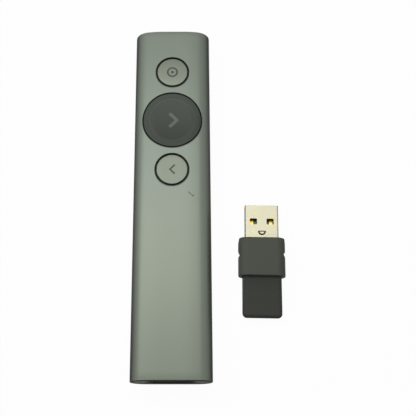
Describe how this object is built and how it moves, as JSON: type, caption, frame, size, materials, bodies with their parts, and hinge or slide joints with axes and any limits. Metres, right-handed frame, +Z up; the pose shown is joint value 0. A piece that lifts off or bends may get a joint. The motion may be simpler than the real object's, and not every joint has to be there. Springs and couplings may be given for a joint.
{
  "type": "presentation clicker",
  "caption": "Slim wireless presentation clicker: full-round aluminium bar with round press buttons on top and a tail bay for its plug-in receiver, which lies beside it.",
  "frame": {"origin": "middle of the clicker's flat underside, which is the face that it rests on", "axes": "+Y along the clicker towards its pointing end, +X to the right, +Z up through the buttons; the receiver lies on the same surface at +X"},
  "size_m": [0.0547, 0.1314, 0.0121],
  "materials": {
    "sleeve_aluminium": "bead-blasted and anodised slate grey",
    "cap_aluminium": "bead-blasted and anodised slate grey",
    "soft_touch_black": "soft-touch moulded, dark grey",
    "bay_plastic": "moulded, near black",
    "icon_dark": "printed dark grey",
    "icon_light": "moulded mid grey",
    "switch_plastic": "moulded black",
    "spring_steel": "bright spring temper",
    "stamped_steel": "tin plated",
    "contact_gold": "gold plated",
    "chassis_plastic": "moulded black",
    "board_green": "solder mask, dark green",
    "chip_plastic": "moulded chip package",
    "battery_foil": "laminated pouch foil",
    "foam_pad": "adhesive foam",
    "lead_insulation": "insulated lead",
    "connector_plastic": "natural nylon",
    "receiver_plastic": "soft-touch moulded, dark grey",
    "plug_steel": "nickel plated, satin",
    "plug_plastic": "moulded black"
  },
  "bodies": {
    "clicker": {"housing_sleeve": "sleeve_aluminium", "switch_terminals": "stamped_steel", "receiver_bay": "bay_plastic", "latch_strips": "spring_steel", "chassis": "chassis_plastic", "board_screws": "stamped_steel", "main_board": "board_green", "charging_port_shell": "stamped_steel", "charging_port_insulator": "plug_plastic", "charging_port_contacts": "contact_gold", "radio_shield": "stamped_steel", "radio_chip": "chip_plastic", "motion_sensor": "chip_plastic", "charger_chip": "chip_plastic", "antenna": "stamped_steel", "battery_cell": "battery_foil", "battery_pad": "foam_pad", "battery_leads": "lead_insulation", "battery_socket": "connector_plastic", "vibration_motor": "stamped_steel", "motor_pad": "foam_pad", "motor_leads": "lead_insulation", "highlight_switch_base": "switch_plastic", "highlight_switch_cover": "stamped_steel", "highlight_switch_dome": "spring_steel", "next_switch_base": "switch_plastic", "next_switch_cover": "stamped_steel", "next_switch_dome": "spring_steel", "back_switch_base": "switch_plastic", "back_switch_cover": "stamped_steel", "back_switch_dome": "spring_steel"},
    "highlight_button": {"highlight_cap": "cap_aluminium", "highlight_icon": "icon_dark", "highlight_switch_plunger": "switch_plastic"},
    "next_button": {"next_cap": "soft_touch_black", "next_icon": "icon_light", "next_switch_plunger": "switch_plastic"},
    "back_button": {"back_cap": "cap_aluminium", "back_icon": "icon_dark", "back_switch_plunger": "switch_plastic"},
    "receiver": {"receiver_housing": "receiver_plastic", "pull_tab": "receiver_plastic", "plug_shell": "plug_steel", "plug_tray": "plug_plastic", "receiver_board": "board_green", "plug_contacts": "contact_gold", "receiver_chip": "chip_plastic", "receiver_crystal": "stamped_steel"}
  },
  "joints": [
    {"name": "highlight_press", "type": "slide", "parent": "clicker", "child": "highlight_button", "axis": [0, 0, -1], "range_m": [0, 0.0004], "stiffness_N_per_m": 400, "springref_m": -0.0003, "deforming": ["highlight_switch_dome"]},
    {"name": "next_press", "type": "slide", "parent": "clicker", "child": "next_button", "axis": [0, 0, -1], "range_m": [0, 0.0004], "stiffness_N_per_m": 400, "springref_m": -0.0003, "deforming": ["next_switch_dome"]},
    {"name": "back_press", "type": "slide", "parent": "clicker", "child": "back_button", "axis": [0, 0, -1], "range_m": [0, 0.0004], "stiffness_N_per_m": 400, "springref_m": -0.0003, "deforming": ["back_switch_dome"]},
    {"name": "receiver_dock", "type": "slide", "parent": "clicker", "child": "receiver", "axis": [0.0192, 0.9998, 0], "range_m": [0, 0.0261]}
  ]
}
